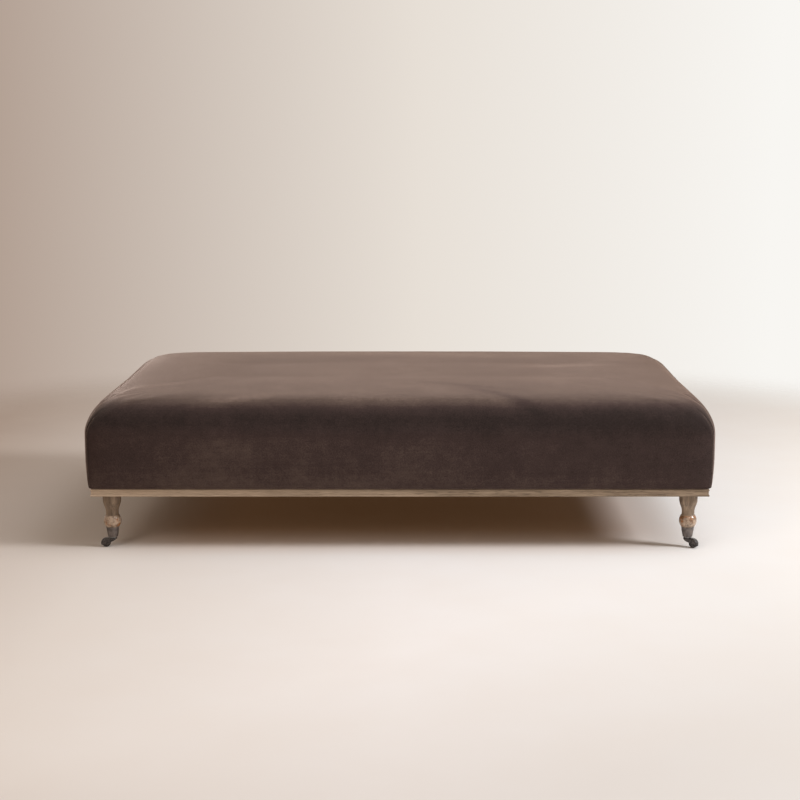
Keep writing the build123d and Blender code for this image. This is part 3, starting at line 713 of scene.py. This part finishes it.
# %% Leg material
ball_low, ball_high = 63.0, 99.0
edge_blur = 4.0
warm_mm, scuff_mm = 21, 9
scuff_share, rubbed_share = 0.65, 0.75
stained_rough, waxed_rough = 0.54, 0.14
leg_hexes = ("#ad9881", "#8b7763", "#504234", "#ad967d")
leg_oak, tree, shader, place, colour = weathered_oak("turned_weathered_oak", "Z", *leg_hexes)
height = axes_of(tree, place)["Z"]
below_top = between(tree, height, (ball_high - edge_blur) * MM, ball_high * MM, 1.0, 0.0)
above_foot = between(tree, height, ball_low * MM, (ball_low + edge_blur) * MM)
on_ball = arithmetic(tree, "MULTIPLY", below_top, above_foot)
warmer = between(tree, mottle(tree, place, warm_mm, 2), 0.5, 0.62)
warm = blend_colours(tree, warmer, "#c2ab95", "#a56b3c")
scuffs = between(tree, mottle(tree, place, scuff_mm, 3, 0.6), 0.46, 0.6, 0, scuff_share)
warm = blend_colours(tree, scuffs, warm, "#5b4636")
amount = between(tree, on_ball, 0, 1, 0, rubbed_share)
tree.links.new(blend_colours(tree, amount, colour, warm), shader.inputs["Base Color"])
leg_rough = between(tree, on_ball, 0, 1, stained_rough, waxed_rough)
tree.links.new(leg_rough, shader.inputs["Roughness"])
shader.inputs["Specular IOR Level"].default_value = 0.5
print("material", leg_oak.name)

# %% [markdown]
# ## Antiqued metal
# The caster cups are cast metal with a dark antique patina: mostly a grey brown skin, thinner and
# shinier where it has rubbed. The horns, axles and wheels are blackened iron. Both start from a
# roughness between 0.3 and 0.4, and noise spreads it. The hidden screws and bolts are zinc plate.


# %% Metal materials
def patina_metal(name, skin, rubbed, deep, patch_mm, metallic, rough, pit_mm):
    """A metal with a patina in patches, thinner in some places, and fine pits."""
    rough_spread = 0.08
    material, tree, shader, place = new_material(name)
    patches = mottle(tree, place, patch_mm, 4, 0.6)
    colour = ramp(tree, patches, (0.32, deep), (0.5, skin), (0.7, rubbed))
    tree.links.new(colour, shader.inputs["Base Color"])
    shader.inputs["Metallic"].default_value = metallic
    roughness = between(tree, patches, *noise_span, rough + rough_spread, rough - rough_spread)
    tree.links.new(roughness, shader.inputs["Roughness"])
    relief(tree, shader, mottle(tree, place, pit_mm, 2, 0.6), 0.12)
    return material


cup_patina, black_iron, zinc = (
    patina_metal(*looks)
    for looks in (
        ("antiqued_cast_bronze", "#6b635f", "#857c75", "#534c48", 14, 0.6, 0.38, 2.5),
        ("blackened_cast_iron", "#454140", "#78716c", "#262423", 6, 0.8, 0.3, 1.0),
        ("zinc_plated_steel", "#b3b4b2", "#cdcecb", "#8f918f", 3, 1.0, 0.34, 0.6),
    )
)
print("materials", cup_patina.name, black_iron.name, zinc.name)

# %% [markdown]
# ## What is inside
# The frame, the webbing and the foam don't show when the ottoman stands, but each has its finish,
# so that a section or a view from below looks right. Sawn softwood has its grain along the piece.
# Jute and hessian are plain weaves, drawn here as two crossed waves with the real thread spacing.


# %% Hidden materials
def plain_weave(name, light, dark, thread_mm, depth_mm):
    """Two crossed sets of threads in X and Y."""
    waviness = 0.6
    material, tree, shader, place = new_material(name)
    waves = []
    for direction in ("X", "Y"):
        sockets = {"Vector": place, "Scale": 500 / thread_mm / math.pi, "Distortion": waviness}
        wave = put(tree, "ShaderNodeTexWave", sockets, bands_direction=direction)
        waves.append(wave.outputs["Fac"])
    threads = arithmetic(tree, "MULTIPLY", *waves)
    fibres = mottle(tree, place, thread_mm * 2, 3, 0.6)
    colour = ramp(tree, between(tree, threads, 0, 0.6), (0.0, dark), (1.0, light))
    colour = blend_colours(tree, between(tree, fibres, *noise_span, 0, 0.35), colour, dark)
    tree.links.new(colour, shader.inputs["Base Color"])
    tree.links.new(between(tree, fibres, *noise_span, 0.85, 0.98), shader.inputs["Roughness"])
    relief(tree, shader, threads, depth_mm)
    return material


def fibre_or_foam(name, light, dark, cell_mm, rough):
    """A soft open material, with cells or fibres of about cell_mm."""
    material, tree, shader, place = new_material(name)
    cells = mottle(tree, place, cell_mm, 3, 0.7)
    colour = ramp(tree, cells, (0.35, dark), (0.65, light))
    tree.links.new(colour, shader.inputs["Base Color"])
    roughness = between(tree, cells, *noise_span, rough, rough - 0.1)
    tree.links.new(roughness, shader.inputs["Roughness"])
    relief(tree, shader, cells, 0.4)
    return material


finishes = {
    "velvet": velvet,
    "wadding": fibre_or_foam("polyester_wadding", "#efece6", "#d8d4cc", 4.0, 0.98),
    "foam": fibre_or_foam("polyurethane_foam", "#e6d9ad", "#cfc090", 1.6, 0.95),
    "hessian": plain_weave("hessian_cloth", "#b59a6c", "#7c6541", 1.6, 0.3),
    "jute_webbing": plain_weave("jute_webbing", "#a98a5c", "#6e5735", 2.4, 0.5),
    "cambric": plain_weave("black_cambric", "#2a2928", "#161515", 0.9, 0.1),
    "leg_wood": leg_oak,
    "steel": zinc,
    "cup_metal": cup_patina,
    "caster_iron": black_iron,
}
softwood_hexes = ("#dcc193", "#cba873", "#a98250", "#d8bd90")
softwood = {
    axis: weathered_oak(f"sawn_softwood_along_{axis.lower()}", axis, *softwood_hexes, 0.72)[0]
    for axis in "XYZ"
}
print("finishes", len(finishes))


# %% Give each CAD node its finish
def longest_axis(node):
    low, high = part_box(node)
    spans = [high[i] - low[i] for i in range(3)]
    return "XYZ"[spans.index(max(spans))]


for row in record["subparts"]:
    node, slot = row["node"], row["material_slot"]
    if slot == "plinth_oak":
        finish = oak_long if longest_axis(node) == "X" else oak_short
    elif slot == "softwood":
        finish = softwood[longest_axis(node)]
    elif node.startswith("wheel_axle"):
        finish = black_iron  # blackened together with its horn
    else:
        finish = finishes[slot]
    piece = frame["nodes"][node]
    piece.data.materials.clear()
    piece.data.materials.append(finish)
print("nodes finished", len(record["subparts"]))

# %% [markdown]
# ## Floor and backdrop
# The ottoman stands on a plain warm white studio floor. The floor is a disc whose rim fades out,
# and the world behind it is the wall's colour, darker on the left where less light reaches it. That
# way no wall stands in the way when the camera goes round the back. Masks over the floor's X and Y
# paint light and shade on it: painted shade that makes it darker to the left and greyer close to the
# lamp, painted warm bounce light near the table, and a little glow in the shade.

# %% Floor disc
floor_radius = 3.6
floor_drop = 0.0003  # a little below the wheels
floor_mesh = bmesh.new()
bmesh.ops.create_circle(floor_mesh, cap_ends=True, segments=96, radius=floor_radius)
bmesh.ops.translate(floor_mesh, verts=floor_mesh.verts, vec=(0, 0, -floor_drop))
floor = to_object(floor_mesh, "studio_floor")
print("floor radius", floor_radius)

# %% Floor masks, in metres from the middle
floor_reach = 1.7  # the colours run over this far to each side
table_y = (0.3, 0.62)  # from the first to the second of each pair, a mask goes from full to nothing
shade_x = (0.5, 1.0)
painted_bounce_x = (0.62, 0.88)
lamp_side = (1.5, 2.7)  # this one, over X less Y, goes from nothing to full
rim_fade = (2.1, 3.5)
floor_material, tree, shader, place = new_material("matte_studio_floor")
floor_axes = axes_of(tree, place)
left_to_right = between(tree, floor_axes["X"], -floor_reach, floor_reach)
from_middle = put(tree, "ShaderNodeVectorMath", {0: place}, operation="ABSOLUTE").outputs[0]
sides = axes_of(tree, from_middle)
by_table = between(tree, sides["Y"], *table_y, 1, 0)
shaded = arithmetic(tree, "MULTIPLY", between(tree, sides["X"], *shade_x, 1, 0), by_table)
# painted warm bounce light on the floor under and beside the table
painted_bounce = arithmetic(tree, "MULTIPLY", between(tree, sides["X"], *painted_bounce_x, 1, 0), by_table)
diagonal = arithmetic(tree, "SUBTRACT", floor_axes["X"], floor_axes["Y"])
# painted shade: the floor is greyer towards the lamp's side
lamp_side_painted_shade = between(tree, diagonal, *lamp_side, 0, 0.4)
distance = put(tree, "ShaderNodeVectorMath", {0: place}, operation="LENGTH").outputs["Value"]
alpha = put(
    tree, "ShaderNodeMapRange", {0: distance, 1: rim_fade[0], 2: rim_fade[1], 3: 1.0, 4: 0.0},
    interpolation_type="SMOOTHERSTEP",
).outputs[0]
print("floor fades from", rim_fade[0], "to", rim_fade[1])

# %% Floor material
# painted shade along X: the floor is darker and warmer far to the left, and a little darker right of
# the table
floor_stops = (
    (0.0, "#c8b8ac"), (0.25, "#e8e2dc"), (0.5, "#f0edeb"), (0.78, "#e8e7e5"), (1.0, "#eeebe6"),
)
grain_mm = 240
shade_glow = 0.10  # warm light that the camera sees in the shade under the table, never on it
grain = between(tree, mottle(tree, place, grain_mm), *noise_span, 0, 0.12)
colour = blend_colours(tree, grain, ramp(tree, left_to_right, *floor_stops), "#e2d6ca")
# painted shade on the lamp's side of the floor
colour = blend_colours(tree, lamp_side_painted_shade, colour, "#c4bdb5")
colour = blend_colours(tree, painted_bounce, colour, "#e6cfbf")  # painted warm bounce light from the oak and the velvet
tree.links.new(colour, shader.inputs["Base Color"])
tree.links.new(alpha, shader.inputs["Alpha"])
shader.inputs["Roughness"].default_value = 0.9
shader.inputs["Specular IOR Level"].default_value = 0.1
camera_ray = put(tree, "ShaderNodeLightPath").outputs["Is Camera Ray"]
glow = arithmetic(tree, "MULTIPLY", shaded, camera_ray)
glow = arithmetic(tree, "MULTIPLY", glow, shade_glow)
shader.inputs["Emission Color"].default_value = linear("#a46f3e")
tree.links.new(glow, shader.inputs["Emission Strength"])
floor.data.materials.append(floor_material)
print("material", floor_material.name)

# %% World
ambient_strength = 0.34
wall_from, wall_to = -0.74, 0.26  # the part of the sky, along X, over which the wall changes
sky_full = 0.5
world = bpy.data.worlds.new("studio")
bpy.context.scene.world = world
world.use_nodes = True
tree = world.node_tree
tree.nodes.clear()
heading = put(tree, "ShaderNodeTexCoord").outputs["Generated"]
axes = axes_of(tree, heading)
wall = ramp(
    tree, between(tree, axes["X"], wall_from, wall_to),
    (0.0, "#e2d9cf"), (0.48, "#b09d90"), (0.74, "#e7dfd6"), (0.95, "#f8f6f2"),
)
backdrop = put(tree, "ShaderNodeBackground", {"Color": wall, "Strength": 1.0})
sky = ramp(tree, between(tree, axes["Z"], 0, sky_full), (0.0, "#deb797"), (1.0, "#ffead6"))
ambient = put(tree, "ShaderNodeBackground", {"Color": sky, "Strength": ambient_strength})
rays = put(tree, "ShaderNodeLightPath").outputs
seen = arithmetic(tree, "MAXIMUM", rays["Is Camera Ray"], rays["Is Glossy Ray"])
seen = arithmetic(tree, "MAXIMUM", seen, rays["Is Transmission Ray"])
mixed = put(tree, "ShaderNodeMixShader", {0: seen, 1: ambient.outputs[0], 2: backdrop.outputs[0]})
put(tree, "ShaderNodeOutputWorld", {"Surface": mixed.outputs[0]})
print("world", world.name)

# %% [markdown]
# ## Light
# The shadow lies under the table and to its left, and its front edge is a little behind the front of
# the plinth, so the main lamp is to the right, above and somewhat in front. It is 1.5 m wide,
# because the shadow's edges are soft. A wider lamp over the table gives the top its even
# brightness, and a weak warm one from the front left keeps the left end from going too dark.


# %% Lamps
def soft_lamp(name, place, aim, size, watts, hex_colour):
    """A square area lamp at place that points at aim."""
    data = bpy.data.lights.new(name, "AREA")
    data.size = size
    data.energy = watts
    data.color = linear(hex_colour)[:3]
    lamp = bpy.data.objects.new(name, data)
    lamp.location = place
    lamp.rotation_euler = (Vector(aim) - Vector(place)).to_track_quat("-Z", "Y").to_euler()
    bpy.context.scene.collection.objects.link(lamp)


soft_lamp("key_softbox", (5.3, -1.85, 3.24), (0, 0, 0.2), 1.5, 285, "#fbfcff")
soft_lamp("overhead_softbox", (1.5, -0.9, 3.7), (0, 0, 0.4), 3.0, 66, "#fafbff")
soft_lamp("fill_softbox", (-2.1, -3.6, 2.6), (-0.3, 0, 0.2), 1.4, 22, "#ffefe2")

# %% [markdown]
# ## Camera
# The view was solved from the plinth, the legs and the casters: a long lens at chest height, well
# back, and tipped down a little. The small shift is that of the photograph's crop.

# %% Camera
tilt_down = 9.57
camera_place = (0.060, -5.213, 1.234)
camera_data = bpy.data.cameras.new("camera")
camera_data.lens = 73.47
camera_data.sensor_width = 36
camera_data.shift_x = -0.0256
camera = bpy.data.objects.new("camera", camera_data)
camera.location = camera_place
camera.rotation_euler = (math.radians(90 - tilt_down), 0, 0)
bpy.context.scene.collection.objects.link(camera)
bpy.context.scene.camera = camera
bpy.context.scene.view_settings.view_transform = "Standard"
print("lens", camera_data.lens)
